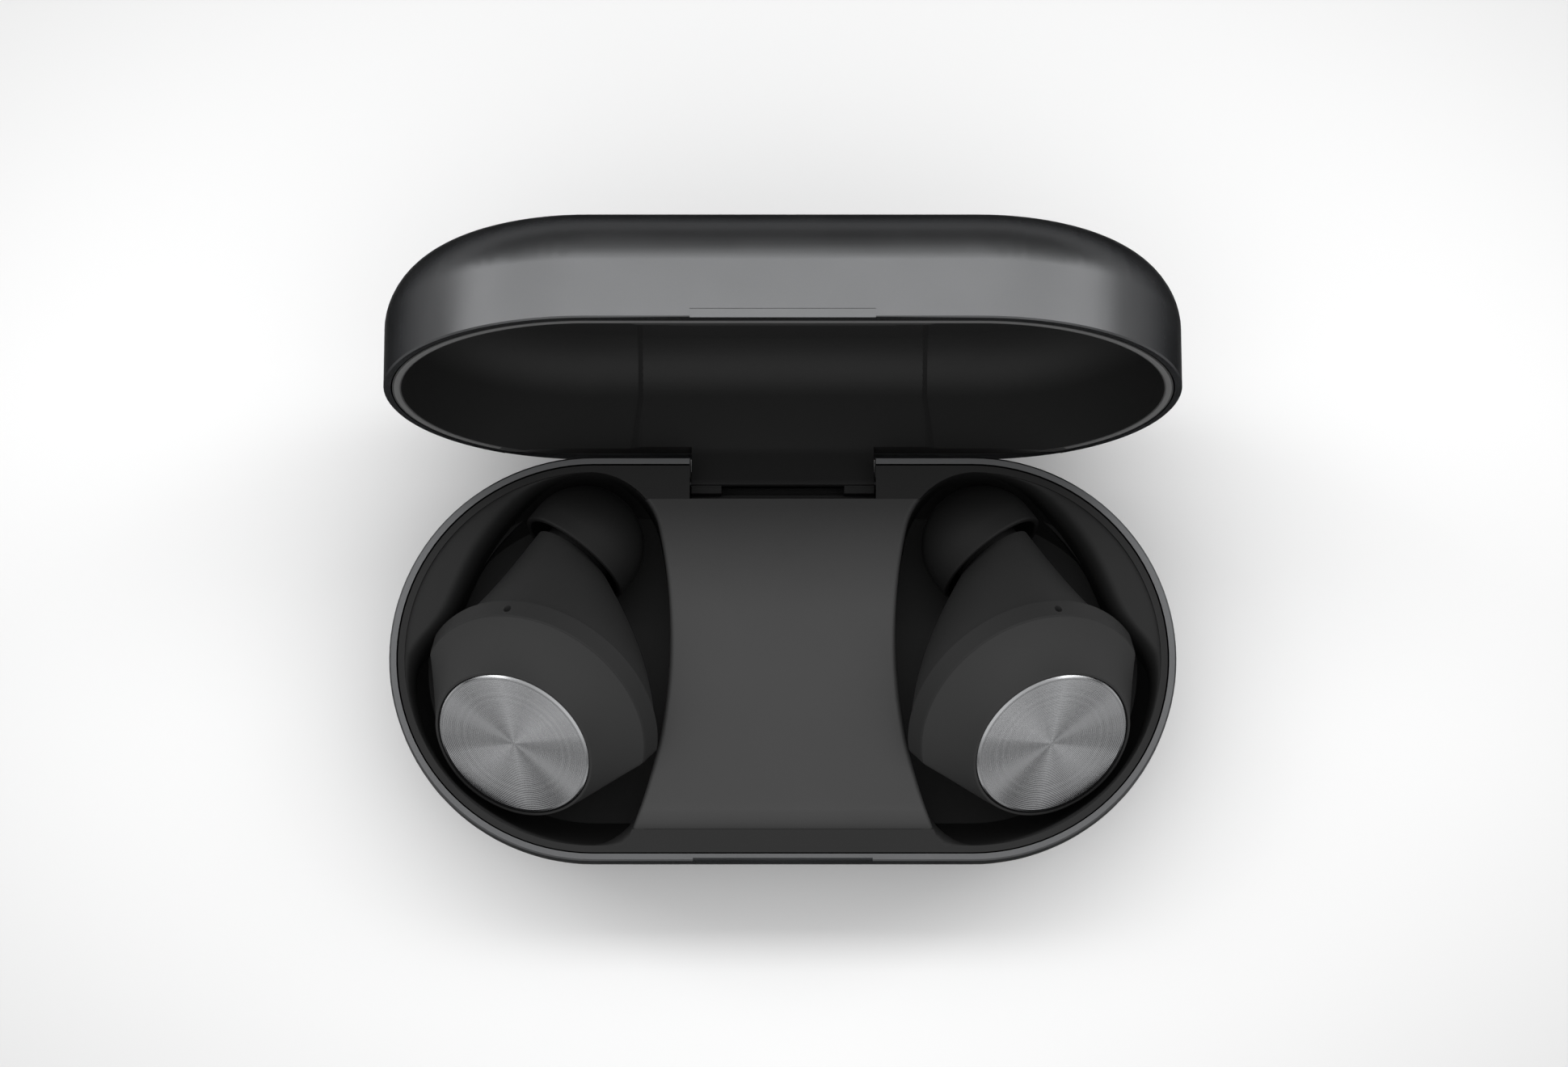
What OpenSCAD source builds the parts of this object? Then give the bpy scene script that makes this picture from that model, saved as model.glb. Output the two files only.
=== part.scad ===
// Wireless earbuds case: a pill-shaped aluminium case whose lid swings back on a steel pin,
// with a moulded tray that holds two in-ear buds in form-fitted nests.
// Millimetres, +Z up, the front faces -Y, the origin is the middle of the resting face.

/* [Case] */
// Length of the case, left to right
case_w = 77; // [76:0.5:95]
// Depth of the case, front to back
case_d = 40; // [40:0.5:50]
// Height of the base, from the resting face to its rim
base_h = 13.5; // [13.5:0.25:17]
// Height of the lid above the seam
lid_h = 12.5; // [12.5:0.25:16]
// Radius of the rounded lower edge of the base
base_round = 11; // [10:0.25:11.5]
// Radius of the rounded upper edge of the lid
lid_round = 6.7; // [4:0.1:8]
// Thickness of the aluminium shells
shell_wall = 0.7; // [0.6:0.05:0.9]
// Open seam between the two rims
seam = 0.15; // [0.1:0.05:0.3]
// How far the bottom pad stands below the shell
foot_h = 0.5; // [0.3:0.05:0.8]
// Width of the thumb recess in the front rims
thumb_w = 17.5; // [12:0.5:24]
// Height of the thumb recess on each rim
thumb_h = 0.9; // [0.5:0.1:1.4]
// Depth of the thumb recess
thumb_depth = 0.3; // [0.1:0.05:0.45]
// Bevel on the outer edge of both rims
rim_bevel = 0.15; // [0.05:0.05:0.3]

/* [Hinge] */
// Opening angle of the lid
lid_open = 99; // [90:1:105]
// Distance of the pin's axis from the rear face
pivot_in = 2.1; // [2:0.05:2.5]
// Distance of the pin's axis below the rim of the base
pivot_drop = 2.95; // [2.7:0.05:3.3]
// Diameter of the hinge pin
pin_d = 1; // [0.8:0.05:1.2]
// How far the pin reaches into the tray on each side
pin_grip = 2.1; // [1.5:0.1:3]
// Width of the lid's hinge tongue
tongue_w = 18; // [14:0.5:20]
// Width of each lug of the tongue
lug_w = 2.95; // [2:0.05:4]
// Wall of a lug around the pin
lug_wall = 0.3; // [0.25:0.05:0.35]
// Length of a lug's tail below the pin's axis
lug_tail = 1.3; // [1:0.05:1.6]
// Thickness of the skin that turns behind the pin
barrel_wall = 0.6; // [0.4:0.05:0.7]
// Radial clearance of the lugs on the pin
running_gap = 0.05; // [0.02:0.01:0.1]
// Clearance between the swinging lid and the base
swing_gap = 0.2; // [0.15:0.05:0.3]
// Clearance at each side of the tongue
side_gap = 0.15; // [0.1:0.05:0.3]
// How far the tongue's hood stands in front of the pin's axis
hood_out = 0.95; // [0.85:0.05:1.2]
// How far the hood reaches below the pin's axis
hood_low = 0.45; // [0.2:0.05:0.5]
// Clearance of the hood around the pin
hood_gap = 0.1; // [0.05:0.05:0.15]

/* [Linings] */
// Clearance between a shell and its lining
skin_gap = 0.15; // [0.1:0.05:0.2]
// Width of the tray's lip
lip_w = 0.65; // [0.4:0.05:0.9]
// Depth of the lip's top below the rim
lip_drop = 0.1; // [0.05:0.05:0.3]
// Width of the saddle at its waist
saddle_w = 22; // [20:0.5:24]
// Width of the ledge in front of the saddle, up to the front face
front_ledge = 3.1; // [2.8:0.05:4]
// Width of the ledges behind the saddle, up to the rear face
rear_ledge = 4.15; // [4:0.05:5]
// Radius of the saddle's curved sides
saddle_arc = 51.3; // [45:0.1:60]
// Height of the saddle's crown above the rim
saddle_crown = 1.1; // [0.8:0.05:1.5]
// Fall of the saddle from its crown to its rear end
saddle_fall = 1.25; // [0.8:0.05:1.6]
// Rounding of the saddle's front end
saddle_nose = 2.6; // [2:0.1:4]
// Rounding of the saddle's sides
saddle_round = 2; // [1:0.1:2.4]
// Least wall of the tray between a nest and the shell
tray_wall = 0.7; // [0.5:0.05:0.9]
// Depth of the wells' floor, around the nests
well_depth = 6.5; // [5:0.25:7]
// Depth of the inner part of the wells, beside the saddle
inner_depth = 8; // [7.5:0.25:8.5]
// Rounding of the wells' outer walls
well_round = 11.4; // [10:0.1:12]
// Radius of the pocket around an ear tip
tip_pocket_r = 7; // [6.6:0.1:7.4]
// Clearance of a bud in its nest
nest_gap = 0.3; // [0.2:0.05:0.4]
// Side wall of the lid liner
liner_wall = 0.85; // [0.7:0.05:0.95]
// Thickness of the liner under the lid's top
liner_top = 0.6; // [0.5:0.05:0.7]
// Width of the liner's middle panel
panel_w = 27.4; // [22:0.2:30]
// How far the middle panel stands in from the side cavities
panel_step = 0.4; // [0.2:0.05:0.6]
// Width of the slope at each side of the panel
panel_slope = 1.6; // [0.4:0.1:2.4]

/* [Buds] */
// Diameter of the touch plate
plate_d = 16; // [14:0.1:17]
// Thickness of the touch plate
plate_t = 0.6; // [0.4:0.05:0.8]
// Diameter of a bud at its widest
bud_d = 25; // [22:0.1:25.4]
// Depth of the flared cap
cap_h = 4.65; // [4.4:0.05:6]
// Width of the middle ring
ring_h = 1.95; // [1.6:0.05:2.4]
// Wall of the bud housings
bud_wall = 1; // [0.8:0.05:1.2]
// Diameter of the cone where it enters the ear tip
neck_d = 9.6; // [8:0.1:10.4]
// Outer diameter of the sound nozzle
nozzle_d = 5.2; // [4.6:0.1:5.8]
// Bore of the sound nozzle
nozzle_bore = 3.6; // [3:0.1:4]
// Diameter of the ear tip's skirt
tip_d = 11.8; // [10.5:0.1:12.2]
// Length of the ear tip
tip_l = 7.6; // [6.5:0.1:8]
// Tilt of a bud's axis from upright
bud_lean = 49.1; // [47:0.1:54]
// Heading of a bud's axis
bud_turn = 239.9; // [236:0.1:243]
// Lift that takes a bud clear of the case
bud_lift = 30; // [25:1:45]

/* [Electronics] */
// Width of the main board
board_w = 19; // [16:0.5:19]
// Thickness of the main board
board_t = 0.8; // [0.6:0.1:1]
// Thickness of the battery
battery_h = 5.6; // [4:0.1:6]
// Width of the charging socket
port_w = 8.94; // [8.94:0.01:9]
// Height of the charging socket
port_h = 3.26; // [3.2:0.01:3.3]
// Depth of the charging socket
port_l = 7.2; // [6:0.1:7.5]
// Diameter of a contact pin
contact_d = 1; // [0.8:0.05:1.2]
// Travel of a contact pin
contact_travel = 0.6; // [0.4:0.1:0.6]

/* [Hidden] */
$fn = 96;
hull_fn = 40;
over = 1;
nudge = 0.02;

// Plan of the case: two half rounds joined by a straight stretch
end_r = case_d / 2;
straight = (case_w - case_d) / 2;
rim_z = base_h;
lid_rim_z = base_h + seam;
lid_top_z = lid_rim_z + lid_h;

// Pin axis, in Y and Z
rear_inset = 0.1;
pivot_y = end_r - pivot_in;
pivot_z = rim_z - pivot_drop;
pin_r = pin_d / 2;
lug_r = pin_r + running_gap + lug_wall;
barrel_r = pivot_in - swing_gap - rear_inset;
lug_inset = 0.15;
lug_groove = 0.25;
hood_top = 0.12;
tongue_root = 2;
skin_end = 62;
notch_w = tongue_w + 2 * side_gap;
notch_floor_z = pivot_z - barrel_r - barrel_wall;
pin_l = notch_w + 2 * pin_grip;
// The rear rim turns inside the pin's radius up to here
relief_x = straight + sqrt(end_r * end_r - pivot_y * pivot_y);

// Tray and liner
lining_r = end_r - shell_wall - skin_gap;
tray_z = foot_h + shell_wall + skin_gap;
tray_round = base_round - shell_wall - skin_gap;
lip_z = rim_z - lip_drop;
nest_inset = shell_wall + skin_gap + tray_wall;
well_r = lining_r - lip_w;
well_floor_z = rim_z - well_depth;
inner_floor_z = rim_z - inner_depth;
// The saddle's arch has its crown at crown_y and falls by saddle_fall to the rear end
saddle_back = end_r - rear_ledge;
saddle_front = -end_r + front_ledge;
saddle_seat_z = rim_z - 1.2;
saddle_crown_z = rim_z + saddle_crown;
crown_y = -4;
saddle_half = saddle_w / 2 + 5;
arch_half = saddle_back - crown_y;
arch_r = (arch_half * arch_half + saddle_fall * saddle_fall) / (2 * saddle_fall);
nose_y = saddle_front + 2;
nose_z = saddle_crown_z - arch_r + sqrt(arch_r * arch_r - (nose_y - crown_y) * (nose_y - crown_y))
    - saddle_nose + nudge;
// Each side of the saddle is an arc that runs into the round of the tip pocket
arc_pos = [-saddle_w / 2 - saddle_arc, 2.2];
arc_start = -40;
round_over = 0.15;
pocket_y = 11.5;
pocket_turn = asin((pocket_y - arc_pos.y) / (saddle_arc - tip_pocket_r));
tip_pocket = [arc_pos.x + (saddle_arc - tip_pocket_r) * cos(pocket_turn), pocket_y];
// The inner part of the left well ends at this arc
inner_pos = [-saddle_w / 2 + 0.6, -2.1];
inner_r = 22.8;
liner_round = lid_round - shell_wall - skin_gap;
cavity_r = lining_r - liner_wall;
panel_r = cavity_r - panel_step;
ceiling_z = lid_top_z - shell_wall - skin_gap - liner_top;

// Left bud: its axis starts at the middle of the touch plate
bud_pos = [-saddle_w / 2 - 15.2, -9.155, rim_z + 3.6];
bud_out = [sin(bud_lean) * cos(bud_turn), sin(bud_lean) * sin(bud_turn), cos(bud_lean)];
plate_r = plate_d / 2;
bud_r = bud_d / 2;
cap_low_r = bud_r - 0.6;
band_in_r = cap_low_r - 1.6 * bud_wall;
cone_r = bud_r - 0.4;
cone_z = -cap_h - ring_h;
plate_gap = 0.05;
plate_proud = 0.1;
cap_r = plate_r + 0.3;
cap_sag = 0.45;
// Below these two corners of its widest edge a bud is cut by flats that just clear the touch plate
corner_turns = [100, 267];
trim_r = cap_r + 0.15;
flat_turn = acos(trim_r / cap_low_r);
flat_turns = [corner_turns[0] - flat_turn, (corner_turns[0] + corner_turns[1]) / 2 - 180,
    corner_turns[1] + flat_turn];
// Radius of the cap's hollow at depth z
function cap_inside(z) = let (top = -plate_t - bud_wall)
    plate_r - bud_wall + (band_in_r - plate_r + bud_wall) * (z - top) / (-cap_h - top);
bud_board_t = 0.8;
bud_board_z = -plate_t - bud_wall - 2 - bud_board_t;
bud_board_gap = 0.45;
cell_r = 5;
cell_h = 4.4;
cell_gap = 0.05;
cell_shift = 1.5;
mic_angle = 214;
mic_d = 0.7;
mic_place = 0.45;

// Ear tip: its axis starts where the cone ends
neck_pos = bud_pos + [5.6, 19.475, -6.1];
tip_turn = 52.4;
tip_dip = 8.7;
tip_out = [cos(tip_dip) * cos(tip_turn), cos(tip_dip) * sin(tip_turn), -sin(tip_dip)];
neck_r = neck_d / 2;
nozzle_r = nozzle_d / 2;
nozzle_l = 5.6;
mesh_t = 0.2;
tip_r = tip_d / 2;
dome_z = tip_l - tip_r;
dome_turns = [30, 55, 80];
skirt_wall = 0.6;
sleeve_wall = 0.9;
tip_bore_gap = 0.3;
rim_disc = 0.4;
driver_gap = 0.6;
driver_r = neck_r - bud_wall - driver_gap;
driver_t = 2.6;
driver_pos = neck_pos + 0.24 * (bud_pos + cone_z * bud_out - neck_pos);

// Lowest line of the cone, from the ring's end to the neck
function low_point(centre, out, r) =
    centre - r * ([0, 0, 1] - out.z * out) / sqrt(1 - out.z * out.z);
low_start = low_point(bud_pos + cone_z * bud_out, bud_out, trim_r);
low_end = low_point(neck_pos, tip_out, neck_r);
function low_line(t) = low_start + t * (low_end - low_start);
low_heading = atan2(low_end.y - low_start.y, low_end.x - low_start.x);
contact_places = [0.28, 0.46];
contact_proud = 0.35;
bud_magnet_place = 0.62;
well_magnet_place = 0.74;
contact_r = contact_d / 2;
pad_r = 0.8;
pad_t = 0.9;

// Inside the base
floor_z = foot_h + shell_wall;
bay_wall = 0.8;
bay_gap = 0.8;
bay_w = saddle_w - 2 * bay_wall;
bay_front = saddle_front + 3 * bay_wall;
bay_back = saddle_back - bay_wall;
pad_r_out = end_r - base_round - 0.1;
pad_r_in = 7.6;
pad_half = 12;
coil_r = 8.2;
coil_hole_r = 4;
coil_z = floor_z + 0.05;
coil_t = 0.7;
ferrite_w = 17;
ferrite_z = coil_z + coil_t;
ferrite_t = 0.5;
board_z = ferrite_z + ferrite_t + 0.35;
board_top_z = board_z + board_t;
board_front = bay_front + bay_gap;
board_back = bay_back - 2 * bay_gap;
port_z = board_top_z + port_h / 2;
port_back = end_r - 3.3;
port_wall = 0.3;
port_gap = 0.12;
blade_w = port_w - 2.2;
blade_l = port_l - 1.2;
blade_t = 0.7;
battery_z = board_top_z + 0.05;
battery_w = board_w;
battery_front = -10.4;
battery_back = 8.6;
bay_top_z = saddle_seat_z - 1.1;
port_bay_top_z = port_z + port_h / 2 + 0.3;
port_room = 0.6;
shelf_l = 1.2;
post_x = board_w / 2 - 1.3;
post_ys = [-12.1, 11.6];
post_r = 1.2;
screw_r = 0.45;
screw_head_r = 0.9;
screw_head_t = 0.4;
screw_l = 3.2;
block_l = 6.8;
block_w = 2.6;
block_z = tray_z + 0.05;
block_h = 1.5;
block_gap = 0.1;
contact_foot_z = floor_z + contact_travel + 0.1;
well_magnet_r = 2;
well_magnet_t = 1.5;
bud_magnet_r = 1.5;
bud_magnet_t = 1.1;
magnet_l = 6;
magnet_t = 1.5;
magnet_h = 3.4;
magnet_gap = 0.05;
magnet_x = 3.2;
magnet_y = -lining_r + 0.35;
magnet_drop = 1;
holder_wall = 0.6;
holder_end = 1.5;
lens_r = 0.6;
lens_z = rim_z - 4.5;
lens_gap = 0.05;
lens_l = 3.2;
lens_inset = 0.35;
lens_room = 0.85;

alloy = [0.33, 0.33, 0.35];
polymer = [0.2, 0.2, 0.21];
matte_black = [0.16, 0.16, 0.17];
silicone = [0.07, 0.07, 0.075];
steel = [0.65, 0.66, 0.68];
gold = [0.85, 0.68, 0.32];

// Plan and section shapes

// Half section of a cup: flat floor, rounded lower corner, straight wall, bevelled upper edge
module cup_section(r, h, round, bevel = 0) {
    square([r - round, h]);
    polygon([[0, round], [r, round], [r, h - bevel], [r - bevel, h], [0, h]]);
    translate([r - round, round]) intersection() {
        circle(round);
        translate([0, -round]) square(round);
    }
}

// Pill-shaped solid with that section all round
module pill(r, h, round, bevel = 0) {
    for (side = [0, 1]) mirror([side, 0, 0]) translate([straight, 0, 0])
        rotate([0, 0, -90]) rotate_extrude(angle = 180) cup_section(r, h, round, bevel);
    rotate([90, 0, 90]) linear_extrude(2 * straight, center = true) {
        cup_section(r, h, round, bevel);
        mirror([1, 0]) cup_section(r, h, round, bevel);
    }
}

// Pill with the rounded edge on top, its flat mouth at z = 0
module pill_lid(r, h, round, bevel = 0) {
    translate([0, 0, h]) mirror([0, 0, 1]) pill(r, h, round, bevel);
}

module stadium(r, half) {
    square([2 * half, 2 * r], center = true);
    for (side = [-1, 1]) translate([side * half, 0]) circle(r);
}

// A box given by its lowest and highest corners
module block(low, high) {
    translate(low) cube(high - low);
}

module both_sides() {
    children();
    mirror([1, 0, 0]) children();
}

module in_left_bud() {
    translate(bud_pos) rotate([0, bud_lean, bud_turn]) children();
}

module in_left_tip() {
    translate(neck_pos) rotate([0, 90 + tip_dip, tip_turn]) children();
}

// Swings a lid piece, drawn closed, back to the open position
module open_lid() {
    translate([0, pivot_y, pivot_z]) rotate([-lid_open, 0, 0])
        translate([0, -pivot_y, -pivot_z]) children();
}

// A (y, z) section, measured from the pin's axis, drawn out along the pin
module along_pin(l) {
    translate([0, pivot_y, pivot_z]) rotate([90, 0, 90])
        linear_extrude(l, center = true) children();
}

// Case

// Opening for the hinge tongue in the rear wall
module hinge_notch() {
    block([-notch_w / 2, saddle_back, notch_floor_z], [notch_w / 2, end_r + over, rim_z + over]);
}

module thumb_recess(z) {
    block([-thumb_w / 2, -end_r - over, z], [thumb_w / 2, -end_r + thumb_depth, z + thumb_h]);
}

module port_opening(gap) {
    translate([0, port_back - port_l - gap, port_z]) rotate([-90, 0, 0])
        linear_extrude(port_l + end_r)
            stadium(port_h / 2 + gap, (port_w - port_h) / 2);
}

module lens_bore() {
    translate([0, -end_r, lens_z]) rotate([-90, 0, 0])
        cylinder(r = lens_r + lens_gap, h = lens_inset + lens_l + lens_room);
}

module base_shell() {
    color(alloy) difference() {
        translate([0, 0, foot_h]) pill(end_r, rim_z - foot_h, base_round, rim_bevel);
        translate([0, 0, floor_z]) pill(end_r - shell_wall, rim_z, base_round - shell_wall);
        hinge_notch();
        port_opening(port_gap);
        lens_bore();
        thumb_recess(rim_z - thumb_h);
        linear_extrude(floor_z + over) stadium(pad_r_in, pad_half);
    }
}

module bottom_pad() {
    color(polymer) {
        linear_extrude(foot_h) stadium(pad_r_out, pad_half);
        translate([0, 0, foot_h]) linear_extrude(shell_wall)
            stadium(pad_r_in - skin_gap, pad_half);
    }
}

// Space that the rear rim of the base sweeps as seen from the lid, a body turned about the pin
module rim_relief() {
    steps = 8;
    half = [for (i = [0 : steps]) let (dx = (relief_x - straight) * i / steps)
        [norm([sqrt(end_r * end_r - dx * dx) - pivot_y, pivot_drop]) + swing_gap, straight + dx]];
    mirrored = [for (i = [steps : -1 : 0]) [half[i].x, -half[i].y]];
    translate([0, pivot_y, pivot_z]) rotate([0, 90, 0]) rotate_extrude()
        polygon(concat([[0, -relief_x]], mirrored, half, [[0, relief_x]]));
}

module lid_shell() {
    color(alloy) open_lid() difference() {
        translate([0, 0, lid_rim_z]) pill_lid(end_r, lid_h, lid_round, rim_bevel);
        translate([0, 0, lid_rim_z - shell_wall])
            pill_lid(end_r - shell_wall, lid_h, lid_round - shell_wall);
        rim_relief();
        thumb_recess(lid_rim_z);
    }
}

// Part of the plane that the skin behind the pin fills, up to its lower edge
module skin_sector() {
    far = 3 * barrel_r;
    polygon([[0, 0], [far, 0], [far, -far], [far * cos(skin_end), -far * sin(skin_end)]]);
}

// Section of the tongue: from the liner's panel a slope runs down to a hood in front of the pin,
// and a skin turns behind the pin
module tongue_section() {
    panel_y = panel_r - pivot_y;
    back_y = lining_r - skin_gap - pivot_y;
    root_z = pivot_drop + seam + tongue_root;
    difference() {
        polygon([[panel_y, root_z], [panel_y, pivot_drop], [-hood_out, hood_top], [-hood_out, -hood_low],
                 [0, -hood_low], [0, pin_r / 2], [barrel_r, pin_r / 2], [barrel_r, pivot_drop],
                 [back_y, pivot_drop], [back_y, root_z]]);
        circle(pin_r + hood_gap);
    }
    translate([barrel_r - barrel_wall, 0]) square([barrel_wall, pin_r]);
    intersection() {
        difference() {
            circle(barrel_r);
            circle(barrel_r - barrel_wall);
        }
        skin_sector();
    }
}

// Section of a lug: an eye round the pin with a tail that stops the lid, filled out to the skin;
// a groove parts the tail from the hood
module lug_section() {
    difference() {
        union() {
            circle(lug_r);
            translate([-lug_r + lug_inset, -lug_tail]) square([lug_r, lug_tail]);
            square([barrel_r, pin_r]);
            intersection() {
                circle(barrel_r);
                skin_sector();
            }
        }
        circle(pin_r + running_gap);
        translate([-hood_out, -hood_low - lug_groove]) square([hood_out - lug_r + lug_wall, lug_groove]);
    }
}

module hinge_tongue() {
    along_pin(tongue_w) tongue_section();
    for (side = [-1, 1]) translate([side * (tongue_w - lug_w) / 2, 0, 0])
        along_pin(lug_w) lug_section();
}

// Space for the closing magnets, open towards the shell
module magnet_pockets(z) {
    for (side = [-1, 1]) translate([side * (magnet_x + magnet_l / 2), 0, 0])
        block([-magnet_l / 2 - magnet_gap, -end_r, z - magnet_gap],
              [magnet_l / 2 + magnet_gap, magnet_y + magnet_t + magnet_gap, z + magnet_h + magnet_gap]);
}

// Slope from the middle panel to a side cavity, between two sections across the liner
module panel_side() {
    hull() for (inset = [0, panel_step])
        translate([panel_w / 2 + panel_slope * (1 - inset / panel_step), 0, lid_rim_z - over])
            rotate([90, 0, 90]) linear_extrude(nudge) for (side = [0, 1]) mirror([side, 0])
                let (h = ceiling_z - inset - nudge - lid_rim_z + over)
                    translate([0, h]) mirror([0, 1])
                        cup_section(cavity_r - inset - nudge, h, liner_round - liner_wall - inset,
                                    $fn = hull_fn);
}

module lid_liner() {
    mouth = lid_rim_z;
    holder_half = magnet_x + magnet_l + holder_end;
    holder_z = mouth + magnet_drop - holder_wall;
    color(polymer) open_lid() difference() {
        union() {
            difference() {
                translate([0, 0, mouth])
                    pill_lid(lining_r, lid_h - shell_wall - skin_gap, liner_round);
                translate([0, 0, mouth - over])
                    pill_lid(panel_r, ceiling_z - panel_step - mouth + over,
                             liner_round - liner_wall - panel_step);
                difference() {
                    translate([0, 0, mouth - over])
                        pill_lid(cavity_r, ceiling_z - mouth + over, liner_round - liner_wall);
                    block([-panel_w / 2 - panel_slope, -end_r, mouth - 2 * over],
                          [panel_w / 2 + panel_slope, end_r, lid_top_z]);
                }
                both_sides() panel_side();
                rim_relief();
            }
            hinge_tongue();
            block([-holder_half, magnet_y, holder_z],
                  [holder_half, magnet_y + magnet_t + holder_wall, holder_z + magnet_h + 2 * holder_wall]);
        }
        magnet_pockets(mouth + magnet_drop);
    }
}

module closing_magnets(z) {
    for (side = [-1, 1]) translate([side * (magnet_x + magnet_l / 2), 0, 0])
        block([-magnet_l / 2, magnet_y, z], [magnet_l / 2, magnet_y + magnet_t, z + magnet_h]);
}

module lid_magnets() {
    color(steel) open_lid() closing_magnets(lid_rim_z + magnet_drop);
}

module base_magnets() {
    color(steel) closing_magnets(rim_z - magnet_drop - magnet_h);
}

module hinge_pin() {
    color(steel) translate([-pin_l / 2, pivot_y, pivot_z]) rotate([0, 90, 0])
        cylinder(d = pin_d, h = pin_l);
}

// Tray

// Plan of the left well: the saddle's arc, closed at the rear by the round of the tip pocket
module left_well_plan() {
    far = 3 * tip_pocket_r;
    difference() {
        translate(arc_pos) circle(saddle_arc, $fn = 360);
        translate(tip_pocket) difference() {
            polygon([[0, 0], far * [cos(pocket_turn), sin(pocket_turn)], [far, far], [0, far]]);
            circle(tip_pocket_r);
        }
    }
}

// What the flats cut away from a bud, grown by gap
module bud_flats(gap) {
    for (a = flat_turns) rotate(a) translate([trim_r + gap, -bud_d]) square([bud_d, 2 * bud_d]);
}

// A disc across the bud with its flats, grown by gap
module bud_disc(r, gap, h) {
    linear_extrude(h) difference() {
        circle(r + gap, $fn = hull_fn);
        bud_flats(gap);
    }
}

// Space that the left bud takes in, with its clearance, drawn straight up
module left_nest() {
    hull() for (lift = [0, bud_lift]) translate([0, 0, lift]) {
        in_left_bud() {
            translate([0, 0, -rim_disc]) bud_disc(cap_r, nest_gap, rim_disc);
            translate([0, 0, -cap_h]) bud_disc(cap_low_r, nest_gap, rim_disc);
            translate([0, 0, cone_z]) bud_disc(bud_r, nest_gap, rim_disc);
            translate([0, 0, cone_z - nest_gap]) bud_disc(cone_r, nest_gap, rim_disc);
        }
        in_left_tip() {
            cylinder(r = tip_r + nest_gap, h = dome_z, $fn = hull_fn);
            for (a = dome_turns) translate([0, 0, dome_z + (tip_r + nest_gap) * sin(a) - rim_disc])
                cylinder(r = (tip_r + nest_gap) * cos(a), h = rim_disc, $fn = hull_fn);
        }
    }
}

module left_well() {
    intersection() {
        translate([0, 0, rim_z - well_round]) pill(well_r, base_h, well_round);
        union() {
            translate([0, 0, well_floor_z]) linear_extrude(base_h) left_well_plan();
            translate([0, 0, inner_floor_z]) linear_extrude(base_h) intersection() {
                left_well_plan();
                translate(inner_pos) circle(inner_r);
            }
        }
    }
    intersection() {
        translate([0, 0, foot_h + nest_inset])
            pill(end_r - nest_inset, base_h, base_round - nest_inset);
        left_nest();
    }
}

module left_block_place() {
    middle = low_line((contact_places[0] + contact_places[1]) / 2);
    translate([middle.x, middle.y, 0]) rotate([0, 0, low_heading]) children();
}

module left_contact_places() {
    for (t = contact_places) translate([low_line(t).x, low_line(t).y, 0]) children();
}

module left_well_magnet(gap) {
    place = low_line(well_magnet_place);
    translate([place.x, place.y, tray_z - (gap > 0 ? over : 0) + magnet_gap])
        cylinder(r = well_magnet_r + gap, h = well_magnet_t + (gap > 0 ? over : 0) + gap);
}

// Bay for the battery and boards, open at the bottom, with posts for the board
module electronics_bay() {
    difference() {
        block([-bay_w / 2, bay_front, 0], [bay_w / 2, bay_back, bay_top_z]);
        for (x = [-post_x, post_x], y = post_ys) translate([x, y, board_top_z])
            cylinder(r = post_r, h = base_h);
        block([-bay_w, board_back - shelf_l, port_bay_top_z], [bay_w, end_r, base_h]);
    }
    block([-port_w / 2 - port_room, 0, 0], [port_w / 2 + port_room, end_r, port_bay_top_z]);
}

module base_tray() {
    color(polymer) difference() {
        translate([0, 0, tray_z]) pill(lining_r, lip_z - tray_z, tray_round);
        block([-saddle_half, saddle_front, saddle_seat_z], [saddle_half, saddle_back + over, rim_z]);
        both_sides() {
            left_well();
            left_block_place() translate([-block_l / 2 - block_gap, -block_w / 2 - block_gap, 0])
                cube([block_l + 2 * block_gap, block_w + 2 * block_gap, block_z + block_h + block_gap]);
            left_contact_places() cylinder(r = contact_r + 2 * running_gap, h = rim_z);
            left_well_magnet(block_gap);
        }
        electronics_bay();
        hinge_notch();
        translate([-pin_l / 2, pivot_y, pivot_z]) rotate([0, 90, 0]) cylinder(d = pin_d, h = pin_l);
        for (x = [-post_x, post_x], y = post_ys) translate([x, y, board_z])
            cylinder(r = screw_r, h = screw_l);
        lens_bore();
        magnet_pockets(rim_z - magnet_drop - magnet_h);
    }
}

// Clears the space beside the saddle, along an arc of radius r in plan, and rounds the edge
module saddle_side(r, from, to) {
    low = saddle_seat_z - over;
    round_z = saddle_crown_z - saddle_round + round_over;
    rotate([0, 0, from]) rotate_extrude(angle = to - from) difference() {
        translate([0, low]) square([r + saddle_round, saddle_crown_z + over - low]);
        translate([r, low]) square([saddle_round, round_z - low]);
        translate([r + saddle_round, round_z]) circle(saddle_round);
    }
}

// Section of the saddle from front to back: a flat seat, an arched top and a rounded nose
module saddle_section() {
    intersection() {
        translate([saddle_front, saddle_seat_z])
            square([saddle_back - saddle_front, saddle_crown_z - saddle_seat_z + over]);
        translate([crown_y, saddle_crown_z - arch_r]) circle(arch_r, $fn = 720);
        union() {
            translate([nose_y, nose_z]) circle(saddle_nose);
            translate([nose_y, saddle_seat_z])
                square([saddle_back - nose_y + over, nose_z + saddle_nose - saddle_seat_z + over]);
        }
    }
}

module saddle_cover() {
    color(polymer) difference() {
        rotate([90, 0, 90]) linear_extrude(2 * saddle_half, center = true) saddle_section();
        both_sides() {
            translate(arc_pos) saddle_side(saddle_arc, arc_start, pocket_turn);
            translate(tip_pocket) saddle_side(tip_pocket_r, pocket_turn, 180);
        }
    }
}

// Electronics in the base

module charging_coil() {
    color("peru") translate([0, 0, coil_z]) linear_extrude(coil_t) difference() {
        circle(coil_r);
        circle(coil_hole_r);
    }
}

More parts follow.
